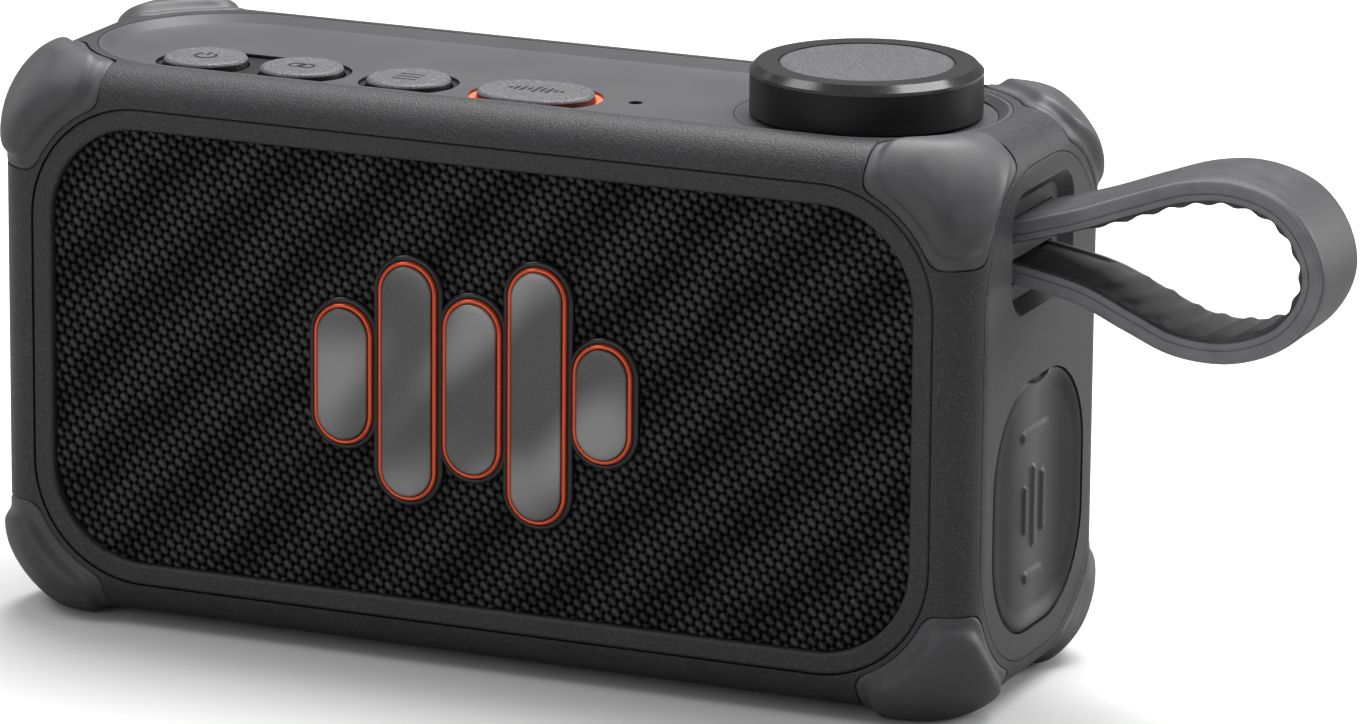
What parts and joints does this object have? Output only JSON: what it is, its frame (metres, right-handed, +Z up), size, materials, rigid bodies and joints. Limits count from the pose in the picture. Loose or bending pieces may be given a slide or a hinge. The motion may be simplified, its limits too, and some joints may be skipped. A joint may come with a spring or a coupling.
{
  "type": "portable practice speaker",
  "caption": "Compact rugged portable practice speaker with a fabric grille, rubber corner bumpers, a control knob and buttons on top, and a rubber carry loop.",
  "frame": {"origin": "centre of the housing's flat underside", "axes": "+Z up, -Y towards the grille, +X towards the carry strap and ports"},
  "size_m": [0.2465, 0.0678, 0.1109],
  "materials": {
    "housing": "fine speckled texture",
    "bezel": "fine texture",
    "deck": "smooth satin",
    "grille_fabric": "coarse woven",
    "grille_plate": "perforated, black",
    "gasket": "closed-cell foam",
    "inner_plastic": "moulded",
    "badge_black": "gloss",
    "badge_orange": "metallic orange",
    "badge_metal": "brushed, vertical",
    "button": "speckled satin",
    "light_ring": "translucent light guide",
    "inner_metal": "plain",
    "knob_black": "matte",
    "knob_ring": "polished, dark anodised",
    "knob_disc": "sparkle texture",
    "shaft": "machined",
    "port_cover": "soft matte",
    "port_plate": "fine texture",
    "jack": "gloss",
    "board": "solder mask",
    "strap": "smooth matte",
    "driver_frame": "powder coated",
    "magnet": "coated ferrite",
    "cone": "pressed",
    "coil": "enamelled winding",
    "surround": "smooth",
    "battery": "shrink wrap",
    "screws": "black oxide",
    "bumper": "smooth matte"
  },
  "bodies": {
    "speaker": {"badge_backing": "badge_black", "badge_bars": "badge_metal", "badge_rims": "badge_orange", "baffle": "inner_plastic", "battery_pack": "battery", "battery_tray": "inner_plastic", "bumper_front_lower_left": "bumper", "bumper_front_lower_right": "bumper", "bumper_front_upper_left": "bumper", "bumper_front_upper_right": "bumper", "bumper_rear_lower_left": "bumper", "bumper_rear_lower_right": "bumper", "bumper_rear_upper_left": "bumper", "bumper_rear_upper_right": "bumper", "control_board": "board", "cover_tether": "port_cover", "driver_frame": "driver_frame", "driver_magnet": "magnet", "driver_screws": "screws", "driver_surround": "surround", "encoder_body": "inner_metal", "front_bezel": "bezel", "front_gasket": "gasket", "front_housing": "housing", "grille_fabric": "grille_fabric", "grille_plate": "grille_plate", "headphone_jack": "jack", "housing_screws": "screws", "instrument_jack": "jack", "knob_base": "deck", "left_end_cap": "housing", "light_ring": "light_ring", "main_board": "board", "microphone": "inner_metal", "port_board": "board", "port_plate": "port_plate", "radiator_frame": "driver_frame", "radiator_surround": "surround", "rear_housing": "housing", "right_end_cap": "housing", "strap": "strap", "strap_anchor": "inner_plastic", "tact_switches": "inner_metal", "top_deck": "deck", "usb_port": "shaft"},
    "power_button": {"power_button": "button"},
    "pairing_button": {"pairing_button": "button"},
    "menu_button": {"menu_button": "button"},
    "effect_button": {"effect_button": "button"},
    "knob": {"knob_body": "knob_black", "knob_ring": "knob_ring", "knob_disc": "knob_disc", "encoder_shaft": "shaft"},
    "port_cover": {"port_cover": "port_cover"},
    "cone": {"driver_cone": "cone", "driver_dust_cap": "cone", "voice_coil": "coil"},
    "radiator": {"radiator_plate": "cone"}
  },
  "joints": [
    {"name": "power_button_press", "type": "slide", "parent": "speaker", "child": "power_button", "axis": [0, 0, -1], "range_m": [0, 0.0006], "stiffness_N_per_m": 1500},
    {"name": "pairing_button_press", "type": "slide", "parent": "speaker", "child": "pairing_button", "axis": [0, 0, -1], "range_m": [0, 0.0006], "stiffness_N_per_m": 1500},
    {"name": "menu_button_press", "type": "slide", "parent": "speaker", "child": "menu_button", "axis": [0, 0, -1], "range_m": [0, 0.0006], "stiffness_N_per_m": 1500},
    {"name": "effect_button_press", "type": "slide", "parent": "speaker", "child": "effect_button", "axis": [0, 0, -1], "range_m": [0, 0.0006], "stiffness_N_per_m": 1500},
    {"name": "knob_turn", "type": "hinge", "parent": "speaker", "child": "knob", "pos_m": [0.0613, 0, 0.1005], "axis": [0, 0, -1], "continuous": true},
    {"name": "port_cover_hinge", "type": "hinge", "parent": "speaker", "child": "port_cover", "pos_m": [0.0951, 0, 0.0109], "axis": [0, 1, 0], "range_deg": [0, 100], "stiffness_Nm_per_rad": 0.004},
    {"name": "cone_travel", "type": "slide", "parent": "speaker", "child": "cone", "axis": [0, -1, 0], "range_m": [-0.0025, 0.0025], "stiffness_N_per_m": 1500, "deforming": ["driver_surround"]},
    {"name": "radiator_travel", "type": "slide", "parent": "speaker", "child": "radiator", "axis": [0, -1, 0], "range_m": [-0.003, 0.003], "stiffness_N_per_m": 1100, "deforming": ["radiator_surround"]}
  ]
}
